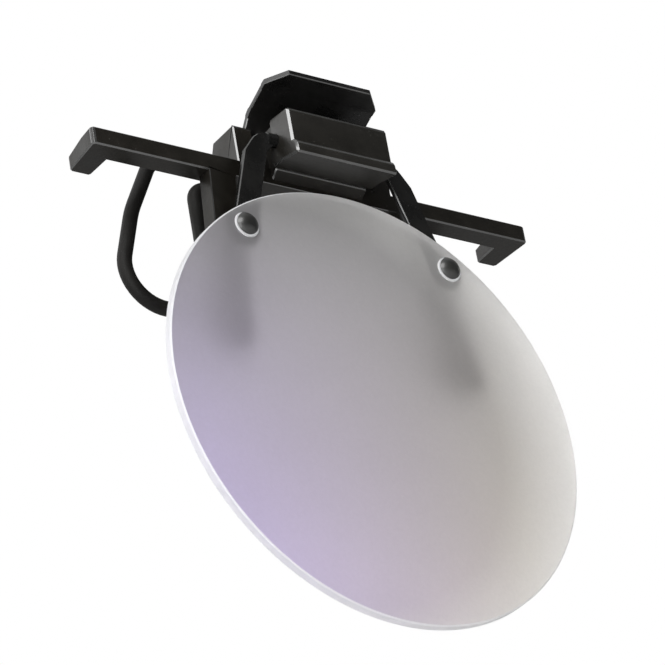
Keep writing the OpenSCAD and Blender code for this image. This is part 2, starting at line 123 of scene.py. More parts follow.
# %% Handled surface group
# The noise values or cell distances over which a patch, a speck and a speck's rarity fade in.
PATCH_BAND = (0.35, 0.68)
SPECK_BAND = (0.16, 0.08)
RARE_BAND = (0.56, 0.7)
DUST_TONE = (0.42, 0.41, 0.38, 1)


def object_noise(tree, scale, **settings):
    """Noise fixed to the piece itself, so that it moves with the piece and needs no unwrapping."""
    place = add_node(tree, "ShaderNodeTexCoord")
    return add_node(tree, "ShaderNodeTexNoise", vector=place.outputs["Object"], scale=scale, **settings).outputs["Fac"]


def make_handled_group():
    """Colour, roughness and height of a moulded or coated surface that has been handled."""
    tree = bpy.data.node_groups.new("handled surface", "ShaderNodeTree")
    for label, kind in (("Grain Size", "Float"), ("Patch Size", "Float"), ("Dark", "Color"), ("Pale", "Color"),
                        ("Base Roughness", "Float"), ("Roughness Spread", "Float"), ("Dust", "Float")):
        tree.interface.new_socket(label, in_out="INPUT", socket_type=f"NodeSocket{kind}")
    for label, kind in (("Color", "Color"), ("Roughness", "Float"), ("Height", "Float")):
        tree.interface.new_socket(label, in_out="OUTPUT", socket_type=f"NodeSocket{kind}")
    given = tree.nodes.new("NodeGroupInput").outputs
    result = tree.nodes.new("NodeGroupOutput").inputs
    place = add_node(tree, "ShaderNodeTexCoord").outputs["Object"]
    patches = object_noise(tree, given["Patch Size"], detail=4.0, roughness=0.6)
    grain = object_noise(tree, given["Grain Size"], detail=3.0, roughness=0.7)
    cells = add_node(tree, "ShaderNodeTexVoronoi", vector=place, scale=given["Grain Size"])
    polished = remap(tree, patches, PATCH_BAND)
    tone = mix(tree, "RGBA", polished, given["Dark"], given["Pale"])
    specks = remap(tree, cells.outputs["Distance"], SPECK_BAND)
    kept_specks = calculate(tree, "MULTIPLY", specks, remap(tree, grain, RARE_BAND))
    dust = calculate(tree, "MULTIPLY", kept_specks, given["Dust"])
    fill(tree, result["Color"], mix(tree, "RGBA", dust, tone, DUST_TONE))
    fill(tree, result["Roughness"], calculate(
        tree, "MULTIPLY_ADD", polished, given["Roughness Spread"], given["Base Roughness"]))
    fill(tree, result["Height"], grain)
    return tree


HANDLED = make_handled_group()
print("group", HANDLED.name, "with", len(HANDLED.nodes), "nodes")

# %% [markdown]
# ## Finishes for the opaque pieces
# The jaw is moulded in a warm black plastic, the block in a slightly greyer one. The straps and the lever are
# steel with a black coat, the wires and screws are bare, the rivets are lacquered, and the sleeves and pads are
# rubber. An outer edge that is rubbed by use is smoother and mirrors more, so chamfers get a polished finish of
# their own. One function puts the shared group into a material, and each finish keeps its own shader.


# %% Finish function
COAT_ROUGHNESS, GRAIN_DEPTH = 0.2, 0.1 * MM


def new_material(name):
    """A material with its tree and its own Principled shader."""
    made = bpy.data.materials.new(name)
    made.use_nodes = True
    return made, made.node_tree, made.node_tree.nodes["Principled BSDF"]


def finish(name, dark, pale, rough, spread, grain=2500.0, patch=220.0, dust=0.3, bump=0.08, metallic=0.0, coat=0.0,
           gloss=0.36, ior=1.5):
    """A finish made of the handled-surface group and one Principled shader."""
    made, tree, shader = new_material(name)
    group = add_node(tree, "ShaderNodeGroup", node_tree=HANDLED, dark=(*dark, 1), pale=(*pale, 1), grain_size=grain,
                     patch_size=patch, base_roughness=rough, roughness_spread=spread, dust=dust)
    for label, value in (("Metallic", metallic), ("Coat Weight", coat), ("Coat Roughness", COAT_ROUGHNESS),
                         ("Specular IOR Level", gloss), ("IOR", ior)):
        shader.inputs[label].default_value = value
    lift = add_node(tree, "ShaderNodeBump", strength=bump, distance=GRAIN_DEPTH, height=group.outputs["Height"])
    fill(tree, shader.inputs["Base Color"], group.outputs["Color"])
    fill(tree, shader.inputs["Roughness"], group.outputs["Roughness"])
    fill(tree, shader.inputs["Normal"], lift.outputs["Normal"])
    return made


# %% Finishes
MOULDED = finish("warm black plastic", (0.0085, 0.0076, 0.006), (0.017, 0.015, 0.012), 0.3, 0.16,
                 bump=0.2, gloss=0.27)
BLOCK = finish("grey black plastic", (0.009, 0.0082, 0.0065), (0.018, 0.0165, 0.0135), 0.3, 0.14,
               bump=0.16, gloss=0.44)
COATED = finish("black coated steel", (0.006, 0.006, 0.0058), (0.014, 0.0135, 0.013), 0.22, 0.18,
                bump=0.1, coat=0.1, gloss=0.28)
BARE = finish("bare steel", (0.42, 0.42, 0.41), (0.6, 0.6, 0.58), 0.24, 0.14, bump=0.05, metallic=1.0, dust=0.1)
RUBBER = finish("black rubber", (0.006, 0.0056, 0.005), (0.012, 0.0112, 0.01), 0.5, 0.16,
                bump=0.25, grain=3600.0, gloss=0.22)
LACQUER = finish("black lacquer", (0.009, 0.009, 0.0085), (0.022, 0.022, 0.02), 0.34, 0.1,
                 bump=0.04, coat=0.6, gloss=0.8)
POLISHED = finish("polished edge", (0.02, 0.02, 0.019), (0.05, 0.05, 0.048), 0.16, 0.1,
                  bump=0.03, gloss=0.5, ior=2.15)
print("finishes", [m.name for m in (MOULDED, BLOCK, COATED, BARE, RUBBER, LACQUER, POLISHED)])

# %% [markdown]
# ## The frosted plastic
# The disc is clear sheet, sanded to a fine frost. Light goes through and spreads, so what touches the back
# shows almost sharp and what lies deeper melts away. A rough transmission does this by itself. Fine noise
# varies the frost, because a sanded sheet is never even. Light and shade are also painted on it: painted shade,
# grey at the top; a lavender painted reflection at the lower left; and painted light, beige at the right and
# paler toward the outer rim. Ramps along X and Z and a distance from a point left of the middle mix it, so it fades
# without a border.

# %% Frosted material
# Painted light and shade for the disc face: a lavender painted reflection, beige painted light, grey painted shade at
# the top and paler painted light toward the outer rim.
PAINTED_REFLECTION_LAVENDER, PAINTED_LIGHT_BEIGE = (0.66, 0.59, 0.8, 1), (0.64, 0.6, 0.555, 1)
PAINTED_SHADE_GREY, PAINTED_LIGHT_PALE = (0.44, 0.435, 0.435, 1), (0.86, 0.85, 0.83, 1)
PAINTED_REFLECTION_TO_LIGHT_X = (-22 * MM, 16 * MM)
PAINTED_SHADE_FADE_Z = (14 * MM, -30 * MM)
PAINTED_LIGHT_CENTRE = (-8 * MM, -8 * MM, -10 * MM)
PAINTED_LIGHT_REACH = (23 * MM, 34 * MM)
CLOUD_SCALE, FROST_SCALE = 60.0, 2600.0
CLOUD_SHARE, FROST_SHARE = 0.55, 0.45
FACE_ROUGHNESS, WEAR = (0.78, 0.95), (0.84, 1.16)
FROST_DEPTH, FROST_BUMP = 0.05 * MM, 0.25
SHEET_IOR, FACE_CLEARNESS = 1.3, 0.62


def make_frosted():
    """The disc's face: light goes through it and spreads, and painted light and shade fade across it."""
    made, tree, shader = new_material("frosted plastic")
    shader.inputs["Transmission Weight"].default_value = FACE_CLEARNESS
    shader.inputs["IOR"].default_value = SHEET_IOR
    cloud = object_noise(tree, CLOUD_SCALE, detail=4.0, roughness=0.55)
    frost = object_noise(tree, FROST_SCALE, detail=3.0, roughness=0.75)
    fill(tree, shader.inputs["Roughness"], remap(tree, cloud, after=FACE_ROUGHNESS))
    place = add_node(tree, "ShaderNodeTexCoord").outputs["Object"]
    along = add_node(tree, "ShaderNodeSeparateXYZ", vector=place).outputs
    # Painted light and shade: lavender painted reflection at the left turns to beige painted light at the right, grey
    # painted shade covers the top, and paler painted light grows toward the outer rim.
    painted_light_and_shade = mix(tree, "RGBA", remap(tree, along["X"], PAINTED_REFLECTION_TO_LIGHT_X), PAINTED_REFLECTION_LAVENDER, PAINTED_LIGHT_BEIGE)
    painted_light_and_shade = mix(tree, "RGBA", remap(tree, along["Z"], PAINTED_SHADE_FADE_Z), PAINTED_SHADE_GREY, painted_light_and_shade)
    painted_light_and_shade = mix(tree, "RGBA", remap(tree, measure(tree, "DISTANCE", place, PAINTED_LIGHT_CENTRE), PAINTED_LIGHT_REACH), painted_light_and_shade, PAINTED_LIGHT_PALE)
    mottle = calculate(tree, "MULTIPLY_ADD", frost, FROST_SHARE, calculate(tree, "MULTIPLY", cloud, CLOUD_SHARE))
    worn = remap(tree, mottle, after=WEAR)
    fill(tree, shader.inputs["Base Color"], mix(tree, "RGBA", 1.0, painted_light_and_shade, worn, blend_type="MULTIPLY"))
    lift = add_node(tree, "ShaderNodeBump", strength=FROST_BUMP, distance=FROST_DEPTH, height=frost)
    fill(tree, shader.inputs["Normal"], lift.outputs["Normal"])
    return made


FROSTED = make_frosted()
print("disc face", FROSTED.name)

# %% [markdown]
# ## The smooth rim
# The sheet's edge is cut and left smooth, so it stays clearer than the faces and gathers light. A second finish
# does that with less frost, and a fine noise stands for the marks that the cutter leaves.

# %% Rim material
CUTTER_SCALE = 900.0
RIM_CLEARNESS, RIM_ROUGHNESS = 0.35, (0.25, 0.45)
RIM_DULL, RIM_WHITE = (0.86, 0.87, 0.9, 1), (1.0, 1.0, 1.0, 1)


def make_rim():
    """The disc's cut edge, clearer and smoother than its faces."""
    made, tree, shader = new_material("smooth rim")
    shader.inputs["Transmission Weight"].default_value = RIM_CLEARNESS
    shader.inputs["IOR"].default_value = SHEET_IOR
    marks = object_noise(tree, CUTTER_SCALE, detail=3.0)
    fill(tree, shader.inputs["Base Color"], mix(tree, "RGBA", marks, RIM_DULL, RIM_WHITE))
    fill(tree, shader.inputs["Roughness"], remap(tree, marks, after=RIM_ROUGHNESS))
    return made


RIM = make_rim()
print("disc rim", RIM.name)

# %% [markdown]
# ## Edges that catch the light
# A moulding or a stamping has no knife edges: each outer edge carries a small radius, polished by use, that
# shows as a thin bright line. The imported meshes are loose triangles, so Weld and Decimate first join them to
# whole faces. A small node tree marks the long outer edges. Inner corners and bores stay as they are, because a
# chamfer there would close over them. Bevel cuts the marked edges back, a second Weld joins the chamfers' ends,
# and a second tree keeps flat faces flat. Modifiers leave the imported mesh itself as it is.

# %% Trees and edge masks
# An outer edge that turns more than the first is cut. One that turns more than the second is shaded as an edge.
CHAMFER_TURN, SHADING_TURN = math.radians(34), math.radians(28)


def new_tree(name, inputs=()):
    """A geometry tree with one geometry in, the named inputs, and one geometry out."""
    tree = bpy.data.node_groups.new(name, "GeometryNodeTree")
    tree.interface.new_socket("Start", in_out="INPUT", socket_type="NodeSocketGeometry")
    for label, kind in inputs:
        tree.interface.new_socket(label, in_out="INPUT", socket_type=f"NodeSocket{kind}")
    tree.interface.new_socket("Piece", in_out="OUTPUT", socket_type="NodeSocketGeometry")
    return tree, tree.nodes.new("NodeGroupInput").outputs, tree.nodes.new("NodeGroupOutput").inputs["Piece"]


def set_tree(modifier, tree, values):
    """Gives the modifier its tree, and sets the tree's named inputs by their identifiers."""
    modifier.node_group = tree
    for item in tree.interface.items_tree:
        if item.in_out == "INPUT" and item.name in values:
            modifier[item.identifier] = values[item.name]


def over(tree, value, limit):
    """A mask of where the value is more than the limit."""
    return add_node(tree, "FunctionNodeCompare", operation="GREATER_THAN", a=value, b=limit).outputs["Result"]


def both(tree, first, second):
    """A mask of where both masks hold."""
    made = add_node(tree, "FunctionNodeBooleanMath", operation="AND")
    fill(tree, made.inputs[0], first)
    fill(tree, made.inputs[1], second)
    return made.outputs["Boolean"]


# %% Marking tree
def make_marking_tree():
    """Marks outer sharp edges over a given length for the chamfer."""
    tree, given, piece = new_tree("mark long edges", [("Least Length", "Float")])
    turn = add_node(tree, "GeometryNodeInputMeshEdgeAngle").outputs["Signed Angle"]
    ends = add_node(tree, "GeometryNodeInputMeshEdgeVertices").outputs
    length = measure(tree, "DISTANCE", ends["Position 1"], ends["Position 2"])
    marked = both(tree, over(tree, turn, CHAMFER_TURN), over(tree, length, given["Least Length"]))
    store = add_node(tree, "GeometryNodeStoreNamedAttribute", data_type="FLOAT", domain="EDGE",
                     geometry=given["Start"], value=marked)
    store.inputs["Name"].default_value = "bevel_weight_edge"
    fill(tree, piece, store.outputs["Geometry"])
    return tree


LONG_EDGES = make_marking_tree()
print("edge rule", LONG_EDGES.name)


# %% Shading tree
def make_shading_tree():
    """Drops stored normals, shades faces smooth, and keeps sharp edges sharp."""
    tree, given, piece = new_tree("shade by angle")
    turn = add_node(tree, "GeometryNodeInputMeshEdgeAngle").outputs["Unsigned Angle"]
    bare = add_node(tree, "GeometryNodeRemoveAttribute", geometry=given["Start"])
    bare.inputs["Name"].default_value = "custom_normal"
    smooth = add_node(tree, "GeometryNodeSetShadeSmooth", domain="FACE", geometry=bare.outputs["Geometry"])
    crisp = add_node(tree, "GeometryNodeSetShadeSmooth", domain="EDGE", geometry=smooth.outputs["Geometry"],
                     selection=over(tree, turn, SHADING_TURN), shade_smooth=False)
    fill(tree, piece, crisp.outputs["Geometry"])
    return tree


BY_ANGLE = make_shading_tree()
print("edge rule", BY_ANGLE.name)

# %% [markdown]
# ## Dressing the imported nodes
# The moulded, stamped and turned pieces already have the right shape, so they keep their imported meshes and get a
# finish. A table names each one's finish and the width of its chamfers, and a second slot holds the chamfers'
# polish. The lever's bend is made of short edges, so only its longer ones are cut.

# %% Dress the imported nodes
JOIN, JOIN_ENDS = 0.002 * MM, 0.01 * MM
FLAT_WITHIN = math.radians(0.5)
LEAST_LENGTH = 0.33 * MM
POLISHED_SLOT = 1


def round_edges(piece, width, least_length):
    """Joins the triangles to whole faces, and cuts each long outer edge back by a narrow chamfer."""
    piece.modifiers.new("join triangles", "WELD").merge_threshold = JOIN
    whole = piece.modifiers.new("whole faces", "DECIMATE")
    whole.decimate_type = "DISSOLVE"
    whole.angle_limit = FLAT_WITHIN
    set_tree(piece.modifiers.new("mark long edges", "NODES"), LONG_EDGES, {"Least Length": least_length})
    bevel = piece.modifiers.new("chamfer", "BEVEL")
    bevel.width = width
    bevel.segments = 1
    bevel.limit_method = "WEIGHT"
    bevel.use_clamp_overlap = False
    bevel.material = POLISHED_SLOT
    piece.modifiers.new("join chamfer ends", "WELD").merge_threshold = JOIN_ENDS
    set_tree(piece.modifiers.new("shade by angle", "NODES"), BY_ANGLE, {})


def dress(name, material, width=0.0, least_length=LEAST_LENGTH):
    """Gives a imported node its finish, and chamfered edges where width is not 0."""
    piece = nodes[name]
    piece.data.materials.clear()
    piece.data.materials.append(material)
    if width:
        piece.data.materials.append(POLISHED)
        round_edges(piece, width, least_length)


DRESSED = {
    "front_jaw": (MOULDED, 0.15 * MM), "hinge_block": (BLOCK, 0.22 * MM),
    "thumb_lever": (COATED, 0.08 * MM, 0.9 * MM), "wire_clamp": (COATED, 0.06 * MM),
    "left_strap": (COATED, 0.1 * MM), "right_strap": (COATED, 0.1 * MM), "hinge_rod": (COATED,),
    "block_screws": (BARE,), "detent_leaf": (BARE,), "lever_pin": (BARE,), "clamp_rivets": (BARE, 0.05 * MM),
    "left_washer": (BARE,), "right_washer": (BARE,), "left_rivet": (LACQUER,), "right_rivet": (LACQUER,),
}
for node_name, look in DRESSED.items():
    dress(node_name, *look)
print("dressed", len(DRESSED), "of", len(nodes))

# %% [markdown]
# ## Foot pads
# Behind the lower end of each leg sits a small rubber pad that grips and leaves no scratch. A real one is
# pressed in a mould: a rounded outline, a soft edge and low ribs across it. Here closed outlines are stacked from
# the wall to the middle. Each is the first outline shrunk by a little, and the ribs are a wave in its height, so
# one skin without seams holds them all. The photograph doesn't show the pads.

# %% Pad outline
PAD_ROUND, PAD_EDGE = 0.9 * MM, 0.3 * MM
RIB_PITCH, RIB_RISE = 0.82 * MM, 0.14 * MM
CORNER_POINTS = 6
TOP_STEPS, SIDE_STEPS = 6, 40


def pad_outline(half_w, half_h, radius):
    """Points around a rounded rectangle, always as many, so that outlines of any size join up."""
    radius = max(radius, 0.0)
    wide, high = half_w - radius, half_h - radius
    step = math.pi / 2 / (CORNER_POINTS - 1)
    arcs = []
    for quarter, (x, z) in enumerate(((wide, high), (-wide, high), (-wide, -high), (wide, -high))):
        angles = [quarter * math.pi / 2 + i * step for i in range(CORNER_POINTS)]
        arcs.append([Vector((x + radius * math.cos(a), z + radius * math.sin(a))) for a in angles])
    points = []
    for arc, next_arc, steps in zip(arcs, arcs[1:] + arcs[:1], (TOP_STEPS, SIDE_STEPS) * 2):
        points += arc + [arc[-1].lerp(next_arc[0], i / steps) for i in range(1, steps)]
    return points


print("pad outline of", len(pad_outline(PAD_ROUND, PAD_ROUND, PAD_EDGE)), "points")

# %% Pad mesh
EDGE_STEPS, INNER_STEPS = 5, 7


def pad_height(inset, z, thick):
    """How far the skin stands out at this inset from the wall: a quarter round, then ribs."""
    if inset < PAD_EDGE:
        return thick - PAD_EDGE + math.sqrt(PAD_EDGE ** 2 - (PAD_EDGE - inset) ** 2)
    fade = min((inset - PAD_EDGE) / PAD_EDGE, 1.0)
    return thick - RIB_RISE * fade * (0.5 - 0.5 * math.cos(math.tau * z / RIB_PITCH))


def pad_mesh(name, half_w, half_h, thick):
    """A closed skin of stacked outlines, from the back face over the edge to the ribbed middle."""
    work = bmesh.new()
    insets = [PAD_EDGE * (1 - math.cos(math.pi / 2 * i / EDGE_STEPS)) for i in range(EDGE_STEPS + 1)]
    insets += [PAD_EDGE + (half_w - PAD_EDGE) * i / INNER_STEPS for i in range(1, INNER_STEPS + 1)]
    rows = [[work.verts.new((x, 0.0, z)) for x, z in pad_outline(half_w, half_h, PAD_ROUND)]]
    for inset in insets:
        outline = pad_outline(half_w - inset, half_h - inset, PAD_ROUND - inset)
        rows.append([work.verts.new((x, pad_height(inset, z, thick), z)) for x, z in outline])
    for low, high in zip(rows, rows[1:]):
        for i in range(len(low)):
            work.faces.new((low[i - 1], low[i], high[i], high[i - 1]))
    work.faces.new(rows[0][::-1])
    bmesh.ops.remove_doubles(work, verts=work.verts, dist=JOIN)
    bmesh.ops.recalc_face_normals(work, faces=work.faces)
    mesh = bpy.data.meshes.new(name)
    work.to_mesh(mesh)
    work.free()
    mesh.shade_smooth()
    return mesh


# %% Pads in place
LEG_FLARE = math.radians(6.5)
PAD_CLEARANCE = 0.01 * MM
SIDES = (("left", -1), ("right", 1))


def add_object(name, data):
    """A new object at the origin, linked to the scene."""
    made = bpy.data.objects.new(name, data)
    bpy.context.collection.objects.link(made)
    return made


def stand_for(piece, body, slot, *names):
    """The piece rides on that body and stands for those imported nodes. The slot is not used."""
    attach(piece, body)
    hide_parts(*names)


def unturned(box_w, box_h):
    """Half width and height of the rounded rectangle that fills this box when it leans by the flare."""
    cosine, sine = math.cos(LEG_FLARE), math.sin(LEG_FLARE)
    straight_w, straight_h = box_w - 2 * PAD_ROUND, box_h - 2 * PAD_ROUND
    spread = cosine ** 2 - sine ** 2
    wide = (straight_w * cosine - straight_h * sine) / spread
    tall = (straight_h * cosine - straight_w * sine) / spread
    return wide / 2 + PAD_ROUND - PAD_CLEARANCE, tall / 2 + PAD_ROUND - PAD_CLEARANCE


for label, side in SIDES:
    pad_low, pad_high = (Vector(c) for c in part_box(f"{label}_foot_pad"))
    pad_half_w, pad_half_h = unturned(pad_high.x - pad_low.x, pad_high.z - pad_low.z)
    mesh = pad_mesh(f"{label} pad", pad_half_w, pad_half_h, pad_high.y - pad_low.y)
    middle = (pad_low + pad_high) / 2
    mesh.transform(Matrix.Translation((middle.x, pad_low.y, middle.z)) @ Matrix.Rotation(-side * LEG_FLARE, 4, "Y"))
    mesh.materials.append(RUBBER)
    stand_for(add_object(f"{label}_ribbed_pad", mesh), "jaw", "soft_rubber", f"{label}_foot_pad")
    print(label, "pad", round(2 * pad_half_w / MM, 2), "by", round(2 * pad_half_h / MM, 2), "mm")

# %% [markdown]
# ## Growing a piece from a rule
# The sleeves, wires, spring, disc and rings each follow a rule: a tube along a path, a plate with holes, a bead
# on a circle. Geometry Nodes state such a rule once. The helper below gives it its sizes, takes the evaluated
# result as a plain mesh, and leaves no modifier behind. The steps that several rules share come after it.


# %% Growing helpers
def face_out(mesh):
    """Turns the faces of a closed or tubular mesh outward."""
    work = bmesh.new()
    work.from_mesh(mesh)
    bmesh.ops.recalc_face_normals(work, faces=work.faces)
    work.to_mesh(mesh)
    work.free()


def grow(name, start, tree, values, place=Matrix()):
    """A new object whose mesh is what the tree makes of the start mesh with these values, put in its place."""
    piece = add_object(name, start)
    modifier = piece.modifiers.new("rule", "NODES")
    set_tree(modifier, tree, values)
    bpy.context.view_layer.update()
    seen = piece.evaluated_get(bpy.context.evaluated_depsgraph_get())
    plain = bpy.data.meshes.new_from_object(seen)
    piece.modifiers.remove(modifier)
    piece.data = plain
    plain.shade_smooth()
    plain.transform(place)
    face_out(plain)
    print(name, "has", len(plain.polygons), "faces")
    return piece


def start_mesh(name, points, edges=()):
    """The points, or the line through them, that a rule starts from."""
    mesh = bpy.data.meshes.new(name)
    mesh.from_pydata(points, edges, [])
    return mesh


def line_mesh(name, points):
    """One open line through the points."""
    return start_mesh(name, points, [(i, i + 1) for i in range(len(points) - 1)])


# %% Parts that rules share
def paint(tree, geometry, material, **where):
    """The geometry in that material, everywhere or where a mask says."""
    return add_node(tree, "GeometryNodeSetMaterial", geometry=geometry, material=material, **where).outputs["Geometry"]


def circle(tree, radius, points):
    """A closed round curve."""
    return add_node(tree, "GeometryNodeCurvePrimitiveCircle", radius=radius, resolution=points).outputs["Curve"]


def swept(tree, path, section, **caps):
    """A section curve carried along a path."""
    return add_node(tree, "GeometryNodeCurveToMesh", curve=path, profile_curve=section, **caps).outputs["Mesh"]


def realized(tree, instances):
    """Instances turned into a mesh of their own, because the export drops instances."""
    return add_node(tree, "GeometryNodeRealizeInstances", geometry=instances).outputs["Geometry"]


def at_points(tree, start, shape):
    """A real copy of the shape at each point of the start mesh."""
    spots = add_node(tree, "GeometryNodeMeshToPoints", mesh=start).outputs["Points"]
    copies = add_node(tree, "GeometryNodeInstanceOnPoints", points=spots, instance=shape)
    return realized(tree, copies.outputs["Instances"])


def joined(tree, *parts):
    """Several geometries as one."""
    made = add_node(tree, "GeometryNodeJoinGeometry")
    for part in parts:
        tree.links.new(part, made.inputs["Geometry"])
    return made.outputs["Geometry"]


# %% [markdown]
# ## The tube rule
# A finger is a wire bent to a loop, and its sleeve is a rubber tube pushed over it. Both are a circle carried
# along a path. A circle swept by Curve to Mesh is smooth at any bend, which a few straight cylinders are not.


# %% Tube tree
def make_tube_tree():
    """A round tube along the line that it is given."""
    tree, given, piece = new_tree("tube along a path", [
        ("Radius", "Float"), ("Sides", "Int"), ("Caps", "Bool"), ("Finish", "Material")])
    path = add_node(tree, "GeometryNodeMeshToCurve", mesh=given["Start"]).outputs["Curve"]
    tube = swept(tree, path, circle(tree, given["Radius"], given["Sides"]), fill_caps=given["Caps"])
    fill(tree, piece, paint(tree, realized(tree, tube), given["Finish"]))
    return tree


TUBE = make_tube_tree()
print("rule", TUBE.name, "with", len(TUBE.nodes), "nodes")

# %% [markdown]
# ## Finger wires and their sleeves
# Each wire leaves the clamp on the lever, runs out behind the jaw, hangs down in a rounded loop and comes back.
# The loop is a polygon with its corners rounded to true arcs. Its height, its depth and its lowest run are read
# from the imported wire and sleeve, so that the finer meshes lie in the same place.


# %% Rounded path
ARC_STEPS = 14


def round_corner(before, corner, after, radius):
    """Points of the arc that rounds one corner of a flat path."""
    u, w = (before - corner).normalized(), (after - corner).normalized()
    half = u.angle(w) / 2
    centre = corner + (u + w).normalized() * radius / math.sin(half)
    reach = radius / math.tan(half)
    start, end = corner + u * reach - centre, corner + w * reach - centre
    sweep = math.pi - 2 * half
    return [centre + start * math.sin((1 - i / ARC_STEPS) * sweep) / math.sin(sweep)
            + end * math.sin(i / ARC_STEPS * sweep) / math.sin(sweep) for i in range(ARC_STEPS + 1)]


def rounded_path(corners, radii):
    """The path through the corners, each rounded by its own radius."""
    points = [corners[0]]
    for before, corner, after, radius in zip(corners, corners[1:], corners[2:], radii):
        points += round_corner(before, corner, after, radius)
    return points + [corners[-1]]


# %% Finger sizes
WIRE_R, SLEEVE_R, SLEEVE_WALL = 0.5 * MM, 0.8 * MM, 0.26 * MM
WIRE_SIDES, SLEEVE_SIDES = 20, 28
CORNER_RADII = [r * MM for r in (2.6, 14, 4.4, 4.4, 1.6)]
OUT_X = 23.2 * MM
SHOULDER_X, TURN_X, TURN_Z = OUT_X - 6.8 * MM, OUT_X - 3.3 * MM, 15.8 * MM
INNER_X, INNER_Z = 11.5 * MM, 20.6 * MM
sleeve_low, sleeve_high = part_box("right_sleeve")
wire_low, wire_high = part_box("right_finger")
FINGER_Y = (sleeve_low[1] + sleeve_high[1]) / 2
LOW_Z = sleeve_low[2] + SLEEVE_R
TOP_Z = wire_high[2] - WIRE_R
print("finger loop from", round(LOW_Z / MM, 2), "to", round(TOP_Z / MM, 2), "mm")


# %% Fingers
def finger_line(side, first_x):
    """One finger's loop, from the clamp out, down and back."""
    corners = [Vector((side * x, FINGER_Y, z)) for x, z in (
        (first_x, TOP_Z), (SHOULDER_X, TOP_Z), (TURN_X, TURN_Z), (OUT_X, LOW_Z),
        (INNER_X, LOW_Z), (INNER_X, INNER_Z), (first_x, INNER_Z))]
    return rounded_path(corners, CORNER_RADII)


for label, side in SIDES:
    wire = grow(f"{label}_bent_wire", line_mesh(f"{label} wire", finger_line(side, wire_low[0])), TUBE,
                {"Radius": WIRE_R, "Sides": WIRE_SIDES, "Caps": True, "Finish": BARE})
    stand_for(wire, "lever", "bright_steel", f"{label}_finger")
    tube = grow(f"{label}_rubber_tube", line_mesh(f"{label} tube", finger_line(side, sleeve_low[0])), TUBE,
                {"Radius": SLEEVE_R, "Sides": SLEEVE_SIDES, "Caps": False, "Finish": RUBBER})
    wall = tube.modifiers.new("wall", "SOLIDIFY")
    wall.thickness = SLEEVE_WALL
    wall.offset = -1
    stand_for(tube, "lever", "soft_rubber", f"{label}_sleeve")

# %% [markdown]
# ## Torsion spring
# The spring is six turns of thin wire round the lever pin, with one leg against the neck and one against the
# lever. A helix is a formula, so its line is computed and the same tube rule gives it thickness.

# %% Spring
PIN = Vector((0, -1.6, 22.3)) * MM
COIL_R, COIL_PITCH, COIL_TURNS, COIL_STEPS = 1.15 * MM, 0.86 * MM, 6, 24
SPRING_WIRE_R, SPRING_SIDES = 0.2 * MM, 10
NECK_LEG, LEVER_LEG, LEG_STEP = 1.62 * MM, 1.5 * MM, 0.05 * MM


def coil_line():
    """The spring's line: a short leg, the turns, and a short leg."""
    half = COIL_PITCH * COIL_TURNS / 2
    points = [Vector((-half - LEG_STEP, -NECK_LEG, COIL_R))]
    for i in range(COIL_STEPS * COIL_TURNS + 1):
        turn = i / COIL_STEPS
        angle = math.tau * turn
        points.append(Vector((COIL_PITCH * turn - half, -COIL_R * math.sin(angle), COIL_R * math.cos(angle))))
    points.append(Vector((half + LEG_STEP, LEVER_LEG, COIL_R)))
    return [PIN + point for point in points]


spring = grow("lever_spring", line_mesh("coil", coil_line()), TUBE,
              {"Radius": SPRING_WIRE_R, "Sides": SPRING_SIDES, "Caps": True, "Finish": BARE})
stand_for(spring, "jaw", "bright_steel", "torsion_spring")

# %% [markdown]
# ## The disc
# The disc is cut from sheet, drilled twice, and its rim is left smooth. The rule fills the space between one
# large circle and two small ones, and lifts it in three steps that chamfer its rim at both faces. The rim gets
# its own finish, because a smooth edge gathers light and glows brighter than the frost.

# %% Disc rule
RIM_POINTS, HOLE_POINTS = 288, 40
SHEET_JOIN = 0.001 * MM


def make_disc_tree(radius, thickness, corner):
    """A sheet with holes, lifted in three steps so that its rim is chamfered at both faces."""
    tree, given, piece = new_tree("drilled disc", [
        ("Radius", "Float"), ("Hole Radius", "Float"), ("Face", "Material"), ("Rim", "Material")])
    holes = at_points(tree, given["Start"], circle(tree, given["Hole Radius"], HOLE_POINTS))
    outline = joined(tree, circle(tree, given["Radius"], RIM_POINTS), holes)
    sheet = add_node(tree, "GeometryNodeFillCurve", curve=outline).outputs["Mesh"]
    shape = bottom = paint(tree, sheet, given["Face"])
    place = add_node(tree, "GeometryNodeInputPosition").outputs["Position"]
    at_rim = over(tree, measure(tree, "LENGTH", place), radius - 2 * corner)
    lifted = {}
    for lift, grown in ((corner, radius / (radius - corner)), (thickness - 2 * corner, 1.0),
                        (corner, (radius - corner) / radius)):
        step = add_node(tree, "GeometryNodeExtrudeMesh", mesh=shape, offset_scale=lift, individual=False, **lifted)
        sides = paint(tree, step.outputs["Mesh"], given["Rim"], selection=step.outputs["Side"])
        wider = add_node(tree, "ShaderNodeVectorMath", operation="MULTIPLY")
        fill(tree, wider.inputs[0], place)
        fill(tree, wider.inputs[1], (grown, grown, 1))
        move = add_node(tree, "GeometryNodeSetPosition", geometry=sides, position=wider.outputs["Vector"],
                        selection=both(tree, step.outputs["Top"], at_rim))
        shape, lifted = move.outputs["Geometry"], {"selection": step.outputs["Top"]}
    under = add_node(tree, "GeometryNodeFlipFaces", mesh=bottom).outputs["Mesh"]
    weld = add_node(tree, "GeometryNodeMergeByDistance", geometry=joined(tree, shape, under), distance=SHEET_JOIN)
    fill(tree, piece, weld.outputs["Geometry"])
    return tree


